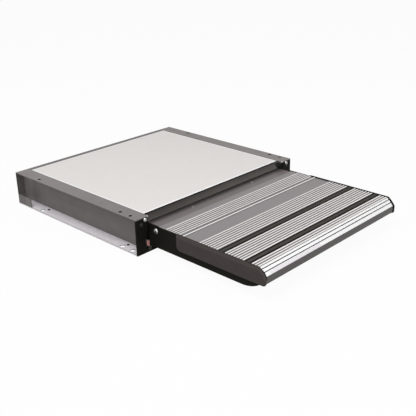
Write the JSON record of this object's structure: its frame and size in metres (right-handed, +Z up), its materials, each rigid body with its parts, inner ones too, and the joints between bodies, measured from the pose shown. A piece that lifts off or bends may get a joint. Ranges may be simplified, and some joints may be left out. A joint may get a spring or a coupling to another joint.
{
  "type": "caravan pull-out step",
  "caption": "Caravan entrance step: a ribbed aluminium tread on two arms that slides out of a flat cassette bolted up under the vehicle floor, with a sprung catch to hold it shut.",
  "frame": {"origin": "middle of the four corner fixing holes, on the top face of the side rails' flanges", "axes": "+Z up through the fixing holes, -Y the way the step pulls out, +X to the right as seen from in front of the step"},
  "size_m": [0.46, 0.687, 0.0735],
  "materials": {
    "rail_paint": "satin grey powder coat",
    "bare_aluminium": "mill finish with lengthwise extrusion lines",
    "tread_aluminium": "satin anodised, bright rib tops",
    "panel_coat": "pale satin coating",
    "fascia_paint": "satin dark grey coat",
    "black_paint": "satin black powder coat",
    "guide_nylon": "black nylon",
    "glide_nylon": "natural nylon",
    "cap_plastic": "dark grey moulded plastic, fine grain",
    "grip_rubber": "black ribbed rubber",
    "buffer_rubber": "black rubber",
    "red_nylon": "red nylon",
    "zinc_steel": "bright zinc plated",
    "dark_steel": "black oxide"
  },
  "bodies": {
    "cassette": {"side_rail_left": "rail_paint", "side_rail_right": "rail_paint", "floor_strip_left": "bare_aluminium", "floor_strip_right": "bare_aluminium", "strip_rivets": "dark_steel", "rear_member": "rail_paint", "rear_rivets": "rail_paint", "rear_buffers": "buffer_rubber", "top_panel": "panel_coat", "front_member": "fascia_paint", "front_plate_left": "black_paint", "front_plate_right": "black_paint", "front_sill": "black_paint", "front_plate_screws": "zinc_steel", "upper_guide_left": "guide_nylon", "upper_guide_right": "guide_nylon", "lower_guide_left": "guide_nylon", "lower_guide_right": "guide_nylon", "catch_pin": "zinc_steel"},
    "step": {"arm_left": "black_paint", "arm_right": "black_paint", "rear_plank": "tread_aluminium", "front_plank": "tread_aluminium", "grip_strip_rear": "grip_rubber", "grip_strip_front": "grip_rubber", "end_cap_left": "cap_plastic", "end_cap_right": "cap_plastic", "arm_bolts": "zinc_steel", "tread_rivets": "tread_aluminium", "rear_tie": "bare_aluminium", "rear_glide_left": "glide_nylon", "rear_glide_right": "glide_nylon", "glide_screws": "zinc_steel", "strike_peg": "dark_steel"},
    "catch": {"catch_lever": "red_nylon", "catch_spring": "zinc_steel"}
  },
  "joints": [
    {"name": "step_slide", "type": "slide", "parent": "cassette", "child": "step", "axis": [0, 1, 0], "range_m": [0, 0.27]},
    {"name": "catch_turn", "type": "hinge", "parent": "cassette", "child": "catch", "pos_m": [-0.2055, -0.15, -0.05475], "axis": [0, 0, -1], "range_deg": [0, 9], "stiffness_Nm_per_rad": 0.05, "springref_deg": -34.38}
  ]
}
